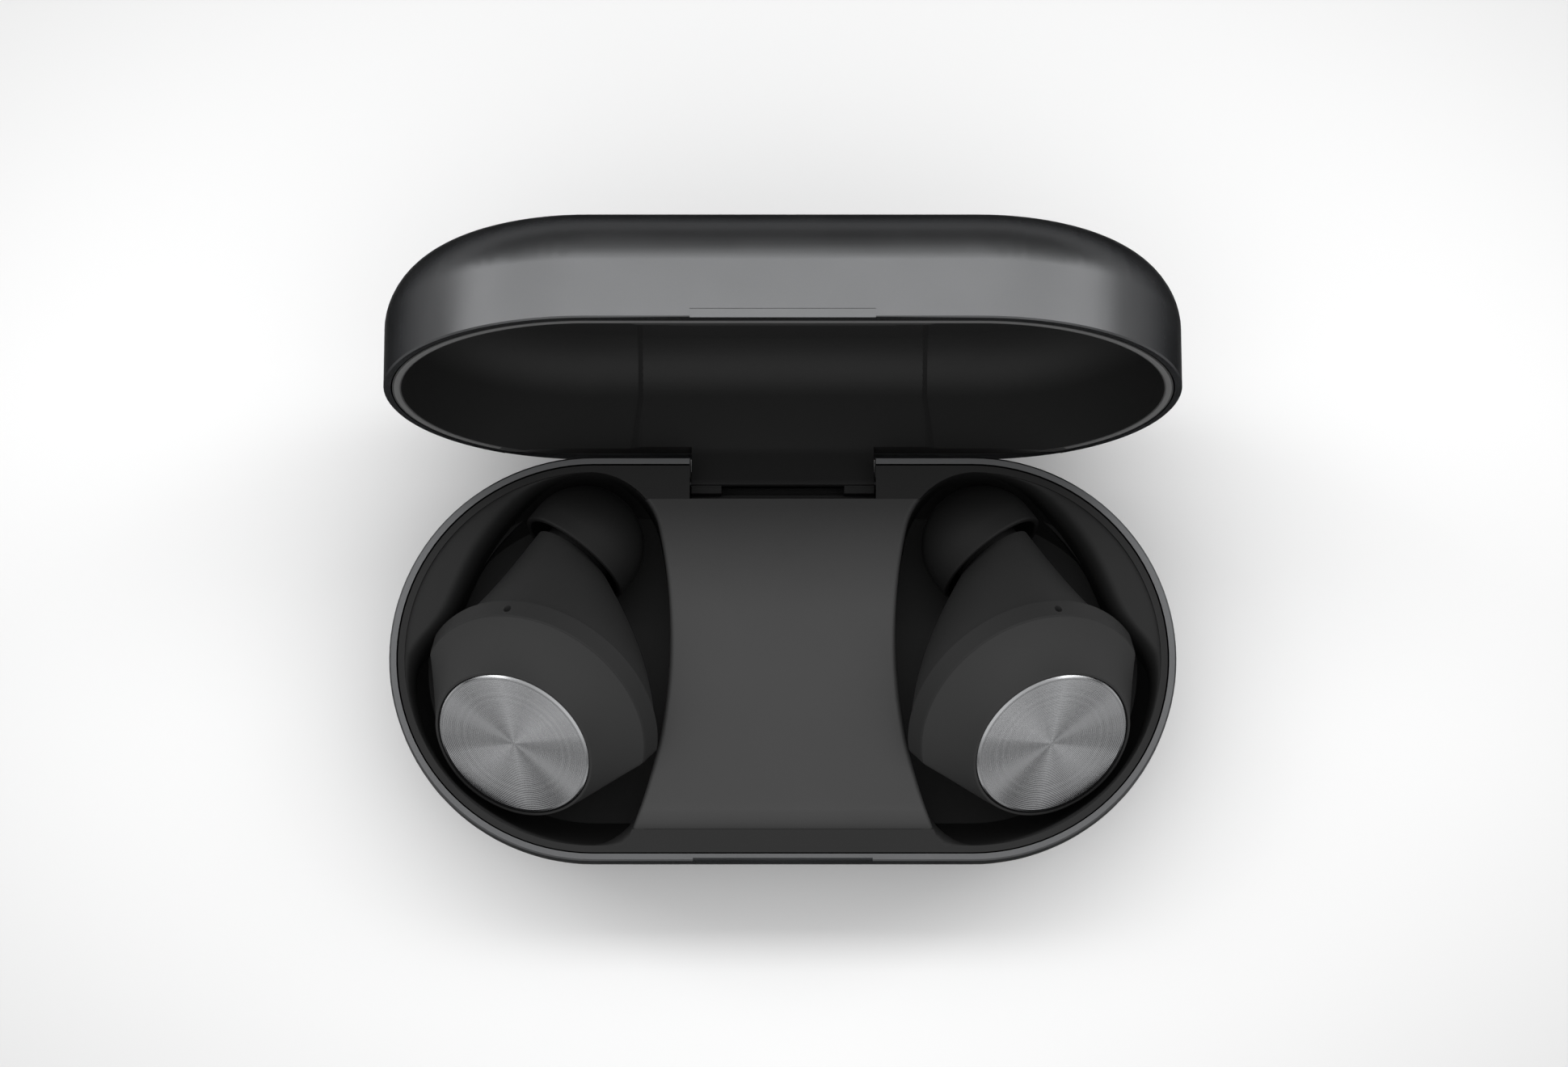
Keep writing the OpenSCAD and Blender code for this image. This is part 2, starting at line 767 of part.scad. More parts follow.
module ferrite_sheet() {
    color("dimgray") translate([-ferrite_w / 2, -ferrite_w / 2, ferrite_z])
        cube([ferrite_w, ferrite_w, ferrite_t]);
}

module main_board() {
    color("darkgreen") difference() {
        block([-board_w / 2, board_front, board_z], [board_w / 2, board_back, board_top_z]);
        for (x = [-post_x, post_x], y = post_ys) translate([x, y, 0])
            cylinder(r = screw_r + running_gap, h = base_h);
    }
}

module board_screws() {
    color(steel) for (x = [-post_x, post_x], y = post_ys) translate([x, y, board_z]) {
        translate([0, 0, -screw_head_t]) cylinder(r = screw_head_r, h = screw_head_t);
        cylinder(r = screw_r, h = screw_l);
    }
}

module battery() {
    corner = 1;
    color("silver") translate([0, 0, battery_z]) linear_extrude(battery_h) {
        translate([-battery_w / 2 + corner, battery_front])
            square([battery_w - 2 * corner, battery_back - battery_front]);
        translate([-battery_w / 2, battery_front + corner])
            square([battery_w, battery_back - battery_front - 2 * corner]);
        for (x = [-1, 1], y = [battery_front + corner, battery_back - corner])
            translate([x * (battery_w / 2 - corner), y]) circle(corner);
    }
}

module port_section(inset) {
    stadium(port_h / 2 - inset, (port_w - port_h) / 2);
}

module port_shell() {
    color(steel) translate([0, port_back - port_l, port_z]) rotate([-90, 0, 0]) {
        linear_extrude(port_l) difference() {
            port_section(0);
            port_section(port_wall);
        }
        linear_extrude(port_wall) port_section(0);
    }
}

module port_tongue() {
    color(matte_black) translate([0, port_back - port_l + port_wall, port_z])
        translate([-blade_w / 2, 0, -blade_t / 2]) cube([blade_w, blade_l, blade_t]);
}

module contact_blocks() {
    color(matte_black) both_sides() difference() {
        left_block_place() translate([-block_l / 2, -block_w / 2, block_z])
            cube([block_l, block_w, block_h]);
        left_contact_places() cylinder(r = contact_r + running_gap, h = rim_z);
    }
}

module left_contact_pins() {
    color(gold) for (t = contact_places) let (top = low_line(t) - [0, 0, contact_proud])
        translate([top.x, top.y, contact_foot_z]) cylinder(r = contact_r, h = top.z - contact_foot_z);
}

module well_magnets() {
    color(steel) both_sides() left_well_magnet(0);
}

module status_lens() {
    color("white") translate([0, -end_r + lens_inset, lens_z]) rotate([-90, 0, 0])
        cylinder(r = lens_r, h = lens_l);
}

// Left bud; the right one is its mirror image

module left_touch_plate() {
    bevel = 0.2;
    color(steel) in_left_bud() translate([0, 0, -plate_t]) rotate_extrude()
        polygon([[0, 0], [plate_r, 0], [plate_r, plate_t - bevel], [plate_r - bevel, plate_t],
                 [0, plate_t]]);
}

// The cap's hollow flank is one arc, drawn in by cap_sag from the straight line
module cap_flank() {
    top = [cap_r, -plate_proud];
    low = [cap_low_r, -cap_h];
    half = norm(low - top) / 2;
    arc_r = (half * half + cap_sag * cap_sag) / (2 * cap_sag);
    out = [top.y - low.y, low.x - top.x] / (2 * half);
    translate((top + low) / 2 + (arc_r - cap_sag) * out) circle(arc_r, $fn = 360);
}

module left_outer_housing() {
    seat_z = -plate_t;
    color(matte_black) in_left_bud() difference() {
        rotate_extrude() difference() {
            polygon([[0, -plate_proud], [cap_r, -plate_proud], [cap_low_r, -cap_h], [0, -cap_h]]);
            cap_flank();
            translate([0, seat_z]) square([plate_r + plate_gap, plate_t]);
        }
        difference() {
            rotate_extrude()
                polygon([[0, seat_z - bud_wall], [plate_r - bud_wall, seat_z - bud_wall],
                         [band_in_r, -cap_h], [band_in_r, -cap_h - over], [0, -cap_h - over]]);
            translate([0, 0, -bud_d]) linear_extrude(bud_d) bud_flats(-bud_wall);
        }
        translate([0, 0, -bud_d]) linear_extrude(bud_d) bud_flats(0);
    }
}

module left_middle_ring() {
    color(matte_black) in_left_bud() difference() {
        rotate_extrude() polygon([[0, -cap_h], [cap_low_r, -cap_h], [bud_r, cone_z], [0, cone_z]]);
        difference() {
            translate([0, 0, -bud_d]) cylinder(r = band_in_r, h = bud_d);
            translate([0, 0, -bud_d - over]) linear_extrude(bud_d + 2 * over) bud_flats(-bud_wall);
        }
        translate([0, 0, -bud_d]) linear_extrude(bud_d) bud_flats(0);
        rotate([0, 0, mic_angle]) translate([bud_r - 2 * bud_wall, 0, -cap_h - mic_place * ring_h])
            rotate([0, 90, 0]) cylinder(d = mic_d, h = 3 * bud_wall);
    }
}

// Slanted cone between the middle ring and the neck, drawn in all round by inset
module left_cone(inset, lead) {
    hull() {
        in_left_bud() translate([0, 0, cone_z - rim_disc]) bud_disc(cone_r, -inset, rim_disc + lead);
        in_left_tip() translate([0, 0, -rim_disc - inset])
            cylinder(r = neck_r - inset, h = rim_disc, $fn = hull_fn);
    }
}

module left_inner_housing() {
    color(matte_black) difference() {
        union() {
            left_cone(0, 0);
            in_left_tip() translate([0, 0, -2 * bud_wall])
                cylinder(r = nozzle_r, h = nozzle_l + 2 * bud_wall);
        }
        left_cone(bud_wall, nudge);
        in_left_tip() translate([0, 0, -3 * bud_wall]) cylinder(d = nozzle_bore, h = nozzle_l + 4 * bud_wall);
        left_contact_places() translate([0, 0, low_line(contact_places[0]).z - 2 * bud_wall])
            cylinder(r = pad_r, h = 6 * bud_wall);
    }
}

module left_bud_contacts() {
    color(gold) for (t = contact_places) translate(low_line(t) - [0, 0, contact_proud])
        cylinder(r = pad_r - nudge, h = pad_t + contact_proud);
}

module left_bud_board() {
    color("darkgreen") in_left_bud() translate([0, 0, bud_board_z])
        linear_extrude(bud_board_t) difference() {
            circle(cap_inside(bud_board_z + bud_board_t) - bud_board_gap);
            bud_flats(-bud_wall - bud_board_gap);
        }
}

module left_bud_cell() {
    color("silver") in_left_bud() translate([-cell_shift, 0, bud_board_z - cell_gap - cell_h])
        cylinder(r = cell_r, h = cell_h);
}

module left_bud_driver() {
    color("dimgray") translate(driver_pos) rotate([0, 90 + tip_dip, tip_turn])
        cylinder(r = driver_r, h = driver_t, center = true);
}

module left_bud_magnet() {
    color(steel) translate(low_line(bud_magnet_place) + [0, 0, 1.5 * bud_wall])
        cylinder(r = bud_magnet_r, h = bud_magnet_t);
}

module left_nozzle_mesh() {
    color(steel) in_left_tip() translate([0, 0, nozzle_l])
        cylinder(r = nozzle_r - mesh_t, h = mesh_t);
}

// Soft mushroom: a sleeve on the nozzle, a domed end and a thin skirt turned back over it
module tip_dome(r) {
    translate([0, dome_z]) intersection() {
        circle(r);
        square(r);
    }
    translate([0, -over]) square([r, dome_z + over]);
}

module left_ear_tip() {
    sleeve_r = nozzle_r + sleeve_wall;
    color(silicone) in_left_tip() rotate_extrude() difference() {
        tip_dome(tip_r);
        difference() {
            tip_dome(tip_r - skirt_wall);
            square([sleeve_r, tip_l]);
        }
        translate([0, -over]) square([tip_r, over]);
        square([nozzle_r + nudge, nozzle_l + mesh_t]);
        square([nozzle_bore / 2 + tip_bore_gap, tip_l + over]);
    }
}

base_shell();
bottom_pad();
base_tray();
saddle_cover();
hinge_pin();
charging_coil();
ferrite_sheet();
main_board();
board_screws();
battery();
port_shell();
port_tongue();
contact_blocks();
well_magnets();
base_magnets();
status_lens();
lid_shell();
lid_liner();
lid_magnets();
for (side = [0, 1]) mirror([side, 0, 0]) {
    name = ["left_", "right_"][side];
    left_touch_plate();
    left_outer_housing();
    left_middle_ring();
    left_inner_housing();
    left_ear_tip();
    left_nozzle_mesh();
    left_bud_contacts();
    left_bud_cell();
    left_bud_board();
    left_bud_driver();
    left_bud_magnet();
    left_contact_pins();
}
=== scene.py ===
import bmesh
import bpy
import numpy as np
from mathutils import Matrix, Vector


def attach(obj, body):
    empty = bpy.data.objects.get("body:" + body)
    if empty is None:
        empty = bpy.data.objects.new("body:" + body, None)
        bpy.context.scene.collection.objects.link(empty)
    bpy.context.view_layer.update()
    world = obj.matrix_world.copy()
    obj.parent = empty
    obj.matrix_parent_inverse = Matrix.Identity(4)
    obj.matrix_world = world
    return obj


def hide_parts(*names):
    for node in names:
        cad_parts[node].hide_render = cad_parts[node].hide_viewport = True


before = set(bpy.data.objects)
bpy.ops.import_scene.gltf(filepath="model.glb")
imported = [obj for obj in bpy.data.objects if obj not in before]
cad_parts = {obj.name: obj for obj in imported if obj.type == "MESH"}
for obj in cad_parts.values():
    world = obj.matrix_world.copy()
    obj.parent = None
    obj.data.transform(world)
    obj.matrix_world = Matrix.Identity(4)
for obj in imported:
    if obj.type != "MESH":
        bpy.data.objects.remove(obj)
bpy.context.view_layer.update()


# Base shell: a cup of drawn aluminium, pill-shaped in plan, blasted to a fine satin and anodised dark
# grey. The hinge notch is milled through the rear.
MM = 0.001
END_R, RIM_Z = 20.0, 13.5
RECESS_W, RECESS_H, RECESS_DEPTH = 17.5, 0.9, 0.3
NEAR = 0.01


class Wire:
    """A socket of a shader tree. Arithmetic on it adds Math nodes, and node() adds any other."""

    def __init__(self, tree, socket=None):
        self.tree = tree
        self.socket = socket

    def node(self, kind, settings=None, out=0, **values):
        """A new node: its settings first, then the values or wires of its named or numbered sockets"""
        made = self.tree.nodes.new("ShaderNode" + kind)
        for name, value in (settings or {}).items():
            if name == "stops":
                for place, _ in value[2:]:
                    made.color_ramp.elements.new(place)
                for element, (place, colour) in zip(made.color_ramp.elements, value):
                    element.position = place
                    element.color = colour
            else:
                setattr(made, name, value)
        for name, value in values.items():
            key = int(name[1:]) if name[1:].isdigit() else name.replace("_", " ")
            if isinstance(value, Wire):
                self.tree.links.new(value.socket, made.inputs[key])
            else:
                made.inputs[key].default_value = value
        return Wire(self.tree, made.outputs[out])

    def math(self, operation, *terms):
        sockets = {f"i{k}": term for k, term in enumerate(terms)}
        return self.node("Math", {"operation": operation}, **sockets)

    def __add__(self, other):
        return self.math("ADD", self, other)

    def __radd__(self, other):
        return self.math("ADD", other, self)

    def __mul__(self, other):
        return self.math("MULTIPLY", self, other)

    def __rmul__(self, other):
        return self.math("MULTIPLY", other, self)

    def mix(self, first, second):
        """first where this mask is 0, second where it is 1"""
        return self.node("Mix", {"data_type": "RGBA"}, 2, i0=self, i6=first, i7=second)


def grey(level, tint=0.0):
    """A grey of that linear level, a little bluer by tint"""
    return (level * (1 - tint), level, level * (1 + 2 * tint), 1.0)


def new_finish(name, **constants):
    """A material with one Principled shader, and the wire that its patterns start from"""
    material = bpy.data.materials.new(name)
    material.use_nodes = True
    tree = material.node_tree
    shader = tree.nodes["Principled BSDF"]
    for socket, value in constants.items():
        shader.inputs[socket.replace("_", " ")].default_value = value
    place = Wire(tree).node("TexCoord", out=3)
    return material, place


def feed(material, **wires):
    """Links wires to the sockets of the material's Principled shader"""
    tree = material.node_tree
    shader = tree.nodes["Principled BSDF"]
    for socket, wire in wires.items():
        tree.links.new(wire.socket, shader.inputs[socket.replace("_", " ")])


def grain(place, size):
    """Noise with patches of about that size in metres, from 0 to 1"""
    return place.node("TexNoise", Vector=place, Scale=1 / size, Detail=2.0, Roughness=0.6)


def relief(place, height, depth):
    """Bump of that depth in metres from a height between 0 and 1"""
    return place.node("Bump", Height=height, Distance=depth, Strength=1.0)


def satin_alloy(name, level, roughness):
    """Blasted metal: a fine speckle in tone and relief, and broad clouds in tone and roughness"""
    material, place = new_finish(name, Metallic=1.0, Specular_Tint=grey(0.0))
    fine = grain(place, 0.12 * MM)
    cloudy = grain(place, 6 * MM)
    tone = (fine * 0.5 + cloudy * 0.5).mix(grey(level * 0.92, 0.012), grey(level * 1.08, 0.012))
    feed(material, Base_Color=tone, Roughness=roughness - 0.04 + 0.08 * cloudy,
         Normal=relief(place, fine, 0.004 * MM))
    return material


def weld(mesh, closed=False):
    """Merges corners that coincide to a tenth of a micron; a closed skin is turned outwards"""
    work = bmesh.new()
    work.from_mesh(mesh)
    bmesh.ops.remove_doubles(work, verts=work.verts, dist=1e-7)
    bmesh.ops.dissolve_degenerate(work, edges=work.edges, dist=1e-8)
    if closed:
        bmesh.ops.recalc_face_normals(work, faces=work.faces)
    work.to_mesh(mesh)
    work.free()


def even_normals(mesh, bend):
    """Each corner's normal is the area-weighted mean of the faces at its vertex that lean less than
    bend degrees from its own face"""
    faces, corners = len(mesh.polygons), len(mesh.loops)
    normal, area = np.empty(faces * 3), np.empty(faces)
    sides, vertex = np.empty(faces, np.int32), np.empty(corners, np.int32)
    mesh.polygons.foreach_get("normal", normal)
    mesh.polygons.foreach_get("area", area)
    mesh.polygons.foreach_get("loop_total", sides)
    mesh.loops.foreach_get("vertex_index", vertex)
    normal = normal.reshape(-1, 3)
    face = np.repeat(np.arange(faces), sides)
    order = np.argsort(vertex, kind="stable")
    count = np.bincount(vertex)
    start = (np.cumsum(count) - count)[vertex[order]]
    group = count[vertex[order]]
    step = np.arange(group.sum()) - np.repeat(np.cumsum(group) - group, group)
    one, other = np.repeat(order, group), order[np.repeat(start, group) + step]
    lean = np.einsum("ij,ij->i", normal[face[one]], normal[face[other]])
    near = lean > np.cos(np.radians(bend))
    one, other = one[near], face[other[near]]
    weighed = normal[other] * area[other, None]
    mean = np.stack([np.bincount(one, weighed[:, k], corners) for k in range(3)], 1)
    mesh.polygons.foreach_set("use_smooth", np.ones(faces, bool))
    mesh.normals_split_custom_set(mean / np.linalg.norm(mean, axis=1, keepdims=True))


def put(mesh, name, body, bend):
    """An object that moves with a body; faces that lean less than bend shade as one curve"""
    piece = bpy.data.objects.new(name, mesh)
    bpy.context.scene.collection.objects.link(piece)
    even_normals(mesh, bend)
    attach(piece, body)
    return piece


def stand_in(mesh, node, body, bend=30):
    """Puts a mesh in the place of a CAD node"""
    piece = put(mesh, node + "_skin", body, bend)
    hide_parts(node)
    return piece


def smooth_copy(node, body, material, reshape=None):
    """A merged copy of a CAD node, shaded smooth; reshape changes its points, in millimetres"""
    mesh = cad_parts[node].data.copy()
    mesh.materials.clear()
    mesh.materials.append(material)
    if reshape:
        points = np.empty(len(mesh.vertices) * 3)
        mesh.vertices.foreach_get("co", points)
        mesh.vertices.foreach_set("co", (reshape(points.reshape(-1, 3) / MM) * MM).ravel())
    weld(mesh)
    return stand_in(mesh, node, body)


def eased_recess(points, low, high, depth):
    """The corners of the thumb recess's floor between two heights come out to a smaller depth"""
    x, y, z = points.T
    floor = (abs(x) < RECESS_W / 2 + NEAR) & (abs(y + END_R - RECESS_DEPTH) < NEAR)
    floor &= (z > low) & (z < high)
    return np.stack([x, np.where(floor, depth - END_R, y), z], 1)


def sloped_recess(points):
    """The recess of the base runs out to nothing at its lower edge"""
    return eased_recess(points, RIM_Z - 2 * RECESS_H, RIM_Z - RECESS_H / 2, 0)


shell_finish = satin_alloy("dark_satin_alloy", 0.12, 0.37)
smooth_copy("base_shell", "base", shell_finish, sloped_recess)


# Bottom pad: a moulded window and foot over the charging coil, pressed into the shell's floor.
# Fine-textured polymer, so that the case doesn't slide.
def moulded(name, level, roughness, gloss=0.4):
    """Polymer from an etched mould: a fine texture in roughness and relief, broad clouds in tone"""
    material, place = new_finish(name, Specular_IOR_Level=gloss)
    fine = grain(place, 0.1 * MM)
    tone = grain(place, 9 * MM).mix(grey(level * 0.94), grey(level * 1.06))
    feed(material, Base_Color=tone, Roughness=roughness - 0.05 + 0.1 * fine,
         Normal=relief(place, fine, 0.006 * MM))
    return material


smooth_copy("bottom_pad", "base", moulded("pad_polymer", 0.03, 0.6))


# Electronics in the base: a wound copper coil on a ferrite sheet, a board with its screws, a
# foil cell and the charging socket. All are hidden, apart from the socket's steel mouth.
def bare_metal(name, colour, roughness):
    """Ground or plated metal, with wavy lines in tone and roughness"""
    material, place = new_finish(name, Metallic=1.0)
    lines = place.node("TexWave", {"bands_direction": "Z"}, Vector=place, Scale=900.0,
                       Distortion=3.0, Detail=2.0)
    tone = lines.mix((*[c * 0.85 for c in colour], 1.0), (*colour, 1.0))
    feed(material, Base_Color=tone, Roughness=roughness - 0.05 + 0.1 * lines)
    return material


def wound_copper():
    """Copper with a dark line between each turn of the wire and the next"""
    material, place = new_finish("wound_copper", Metallic=1.0, Roughness=0.3)
    turns = place.node("TexWave", {"wave_type": "RINGS", "rings_direction": "Z"}, Vector=place,
                       Scale=800.0)
    feed(material, Base_Color=turns.mix((0.25, 0.1, 0.04, 1), (0.62, 0.3, 0.13, 1)))
    return material


def solder_mask():
    """Green lacquer with lighter tracks in a brick pattern"""
    material, place = new_finish("solder_mask", Roughness=0.35)
    tracks = place.node("TexBrick", Vector=place, Scale=700.0, Mortar_Size=0.06,
                        Color1=(0.01, 0.06, 0.03, 1), Color2=(0.012, 0.07, 0.035, 1),
                        Mortar=(0.03, 0.14, 0.07, 1))
    feed(material, Base_Color=tracks)
    return material


def paint(node, material):
    """Gives a CAD node, which stays as it is, its finish"""
    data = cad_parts[node].data
    data.materials.clear()
    data.materials.append(material)


steel = bare_metal("ground_steel", (0.42, 0.42, 0.43), 0.3)
nickel = bare_metal("nickel_plate", (0.5, 0.5, 0.48), 0.25)
gold = bare_metal("gold_plate", (0.75, 0.5, 0.18), 0.22)
foil = bare_metal("cell_foil", (0.5, 0.5, 0.52), 0.4)
green_board = solder_mask()
black_insulator = moulded("black_insulator", 0.012, 0.5)
hidden_finishes = {
    "charging_coil": wound_copper(), "ferrite_sheet": moulded("ferrite", 0.02, 0.7),
    "main_board": green_board, "board_screws": steel, "battery": foil, "port_shell": steel,
    "port_tongue": black_insulator, "contact_blocks": black_insulator, "well_magnets": nickel,
    "base_magnets": nickel, "lid_magnets": nickel, "status_lens": moulded("diffuser", 0.6, 0.3),
}
for node, material in hidden_finishes.items():
    paint(node, material)


# Base tray: one moulding of fine matte polymer that lines the cup. A raised lip runs round it,
# and two wells, each sunk to the form of its bud, take the rest.
tray_finish = moulded("tray_polymer", 0.014, 0.55, 0.2)
smooth_copy("base_tray", "base", tray_finish)


# Saddle cover: the arched cover between the wells, snapped on over the battery. A lighter polymer than
# the tray's, rolled down to the ledge in front, with waisted sides that have a fine round.
SEAT_Z = 12.3
FRONT_Y, BACK_Y = -16.9, 15.85
NOSE_R, NOSE_Y, NOSE_Z, NOSE_END = 2.6, -14.9, 11.644, 93.9
ARCH_R, CROWN_Y, CROWN_Z = 158.23, -4.0, 14.6
WAIST_R, WAIST_X, WAIST_Y = 51.3, 62.3, 2.2
POCKET_R, POCKET_X, POCKET_Y, POCKET_FROM = 7.0, 18.99, 11.5, 12.95
SIDE_ROUND = 0.5


def sheet_faces(rows, columns, around=False):
    """Quads of a grid of points; the last column joins the first where it goes round"""
    index = np.arange(rows * columns).reshape(rows, columns)
    if around:
        index = np.concatenate([index, index[:, :1]], 1)
    quads = [index[:-1, :-1], index[:-1, 1:], index[1:, 1:], index[1:, :-1]]
    return np.stack(quads, -1).reshape(-1, 4)


def skin(name, points, faces, material):
    """A closed mesh from points in millimetres; corners that coincide are merged, so that seams and
    poles close"""
    mesh = bpy.data.meshes.new(name)
    mesh.from_pydata((points.reshape(-1, 3) * MM).tolist(), [], faces.tolist())
    mesh.materials.append(material)
    weld(mesh, closed=True)
    return mesh


def saddle_profile():
    """(y, z) from the front foot over the nose and the arch to the rear foot: the nose is a circle
    about its middle up to the turn NOSE_END, and the arch a circle of ARCH_R below its crown"""
    turn = np.linspace(np.arccos((FRONT_Y - NOSE_Y) / NOSE_R), np.radians(NOSE_END), 24)
    nose = np.stack([NOSE_Y + NOSE_R * np.cos(turn), NOSE_Z + NOSE_R * np.sin(turn)], 1)
    y = np.linspace(nose[-1, 0], BACK_Y, 90)[1:]
    arch = np.stack([y, CROWN_Z - ARCH_R + np.sqrt(ARCH_R ** 2 - (y - CROWN_Y) ** 2)], 1)
    return np.concatenate([[[FRONT_Y, SEAT_Z]], nose, arch, [[BACK_Y, SEAT_Z]]])


def saddle_half_width(y):
    """Half the width at y: an arc of WAIST_R that bows in, then the round of the tip pocket"""
    side = WAIST_X - np.sqrt(WAIST_R ** 2 - (y - WAIST_Y) ** 2)
    pocket = POCKET_X - np.sqrt(np.maximum(POCKET_R ** 2 - (y - POCKET_Y) ** 2, 0))
    return np.where(y < POCKET_FROM, side, pocket)


def saddle_points():
    """Across the saddle, x runs from side to side, closest near the sides; z is the profile's
    height, which a quarter round takes down to each side wall"""
    y, top = saddle_profile().T
    reach = np.linspace(0, 1, 44) ** 2.6
    across = np.concatenate([[0], reach, 2 - reach[-2::-1], [2]]) - 1
    half = saddle_half_width(y)[:, None]
    x = across * half
    short = SIDE_ROUND - np.minimum(half - np.abs(x), SIDE_ROUND)
    z = top[:, None] - SIDE_ROUND + np.sqrt(np.maximum(SIDE_ROUND ** 2 - short ** 2, 0))
    z[:, [0, -1]] = SEAT_Z
    return np.stack([x, np.broadcast_to(y[:, None], x.shape), np.maximum(z, SEAT_Z)], -1)


def saddle_mesh(material):
    """The top surface, and the same grid flat on the seat below it, facing down"""
    top = saddle_points()
    foot = top * [1, 1, 0] + [0, 0, SEAT_Z]
    faces = sheet_faces(*top.shape[:2])
    faces = np.concatenate([faces, faces[:, ::-1] + top[..., 0].size])
    return skin("saddle", np.concatenate([top, foot]), faces, material)


saddle = saddle_mesh(moulded("saddle_polymer", 0.04, 0.55, 0.3))
stand_in(saddle, "saddle_cover", "base", 32)


# Well collars: the rolled shoulders between the tray's lip and the nests, moulded in one with the
# tray. Each is widest beside the ear tip and fills the corner in front of the saddle.
MIDDLE_X, LIP_R, LIP_Z, LEDGE_Z = -18.5, 18.5, 13.1, 13.38
COLLAR_DROP, COLLAR_ROLL, COLLAR_FOOT = 2.5, 1.6, [5, 6.9, 6.9, 3]
COLLAR_END = np.array([  # turn from the rear in degrees, width
    [0, 0.03], [14, 0.3], [27, 1.7], [40, 2.95], [56, 4], [68, 4.3], [76, 4], [82, 2.9], [88, 1.5],
    [96, 0.8], [112, 0.6], [130, 0.35], [150, 0.6], [168, 0.5], [180, 0.3]])
COLLAR_FRONT = np.array([  # x, width
    [-18.5, 0.3], [-17.4, 0.55], [-16.6, 0.95], [-15.8, 1.5], [-15, 2.25], [-14.2, 3.35],
    [-13.6, 4.6]])


def collar_path():
    """Outer and inner edge of the left collar in plan, and the height of its top. Round the end of
    the case the inner edge lies a width inside the lip that follows the turn, evened over 13 degrees;
    in front the width follows x, and the top rises to the ledge"""
    turn = np.radians(np.linspace(0, 180, 181))
    width = np.interp(np.degrees(turn), *COLLAR_END.T)
    width = np.convolve(np.pad(width, 6, "edge"), np.ones(13) / 13, "valid")[:, None]
    ray = np.stack([-np.sin(turn), np.cos(turn)], 1)
    x = np.linspace(MIDDLE_X, COLLAR_FRONT[-1, 0], 40)[1:]
    front = np.interp(x, *COLLAR_FRONT.T)
    outer = np.concatenate([[MIDDLE_X, 0] + LIP_R * ray, np.stack([x, 0 * x - LIP_R], 1)])
    inner = np.concatenate([[MIDDLE_X, 0] + (LIP_R - width) * ray, np.stack([x, front - LIP_R], 1)])
    top = np.concatenate([LIP_Z + 0 * turn, np.interp(x, [MIDDLE_X, -16], [LIP_Z, LEDGE_Z])])
    return outer, inner, top


def capped(points):
    """A loft of closed sections with its first and last section drawn together to their middle"""
    ends = [np.broadcast_to(points[k].mean(0), points[k].shape) for k in (0, -1)]
    return np.concatenate([ends[:1], points, ends[1:]])


def collar_points():
    """Sections across the path: level from the lip to the start of a quarter-ellipse roll at the
    inner edge, then a wall below it and back underneath"""
    outer, inner, top = collar_path()
    width = np.linalg.norm(inner - outer, axis=1)[:, None]
    turn = np.radians(np.linspace(0, 90, 22))
    roll = 1 - np.minimum(COLLAR_ROLL / width, 1) * (1 - np.sin(turn))
    at_lip, at_edge = 0 * width, 1 + 0 * width
    share = np.concatenate([at_lip, roll, at_edge, at_edge, at_lip, at_lip], 1)[..., None]
    drop = np.concatenate([[0], COLLAR_DROP * (1 - np.cos(turn)), COLLAR_FOOT])
    plan = outer[:, None] * (1 - share) + inner[:, None] * share
    return capped(np.concatenate([plan, (top[:, None] - drop)[..., None]], -1))


def mirrored(points, side):
    """Points of a left-hand piece, with x turned over for the right"""
    return points * [-1 if side == "right" else 1, 1, 1]


def tray_piece(name, points):
    """Puts a capped loft on both sides of the base, in the tray's finish"""
    faces = sheet_faces(*points.shape[:2], around=True)
    for side in ("left", "right"):
        mesh = skin(f"{side}_{name}", mirrored(points, side), faces, tray_finish)
        put(mesh, f"{side}_{name}", "base", 50)


tray_piece("well_collar", collar_points())


# Rear ledges: two level strips of the tray's polymer between the back of the saddle and the rear
# ledge, one on each side of the hinge notch. Each ends at the round of the tip pocket.
NOTCH_W = 18.3
STRIP_W, STRIP_LAP, POCKET_LAP = 1.0, 0.02, 0.03


def box_loft(x, y, z):
    """A bar of four-cornered sections, one for each y, with capped ends"""
    x, y, z = np.broadcast_arrays(x, y[:, None], z)
    return capped(np.stack([x, y, z], -1))


def ledge_points():
    """A level bar along y, whose outer side follows the saddle's half width"""
    y = np.linspace(BACK_Y - STRIP_LAP, BACK_Y + STRIP_W + STRIP_LAP, 12)
    inner, outer = 0 * y - NOTCH_W / 2, POCKET_LAP - saddle_half_width(y)
    return box_loft(np.stack([inner, inner, outer, outer], 1), y, [SEAT_Z, LEDGE_Z, LEDGE_Z, SEAT_Z])


tray_piece("rear_ledge", ledge_points())


# Notch shade tabs: thin dark tabs of the tray's polymer over the ends of the shell's wall on both sides
# of the hinge notch, a hair clear of the tongue. They are painted shade: dark sheets where those ends
# lie in shade, in place of their bright cut faces.
SHADE_TAB_X = -NOTCH_W / 2 + np.array([0.09, 0.09, -0.01, -0.01])
SHADE_TAB_Y = np.linspace(18.0, 19.95, 8)
SHADE_TAB_Z = [8.2, RIM_Z - 0.2, RIM_Z - 0.2, 8.2]
tray_piece("notch_shade_tab", box_loft(SHADE_TAB_X, SHADE_TAB_Y, SHADE_TAB_Z))


# Hinge pin: a ground steel rod, blackened. Its ends are held in the base, and it is bare between
# the two lugs of the lid's tongue.
black_steel = bare_metal("blackened_steel", (0.05, 0.05, 0.052), 0.35)
smooth_copy("hinge_pin", "base", black_steel)


# Lid shell: the same pill in aluminium as the base, softly rounded over its top edge, with a
# shallow thumb recess at the front rim and a relief for the base's rim at the rear.
HINGE = np.array([0, 17.9, 10.55])
SWING = 99
LID_RECESS_DEPTH = 0.06


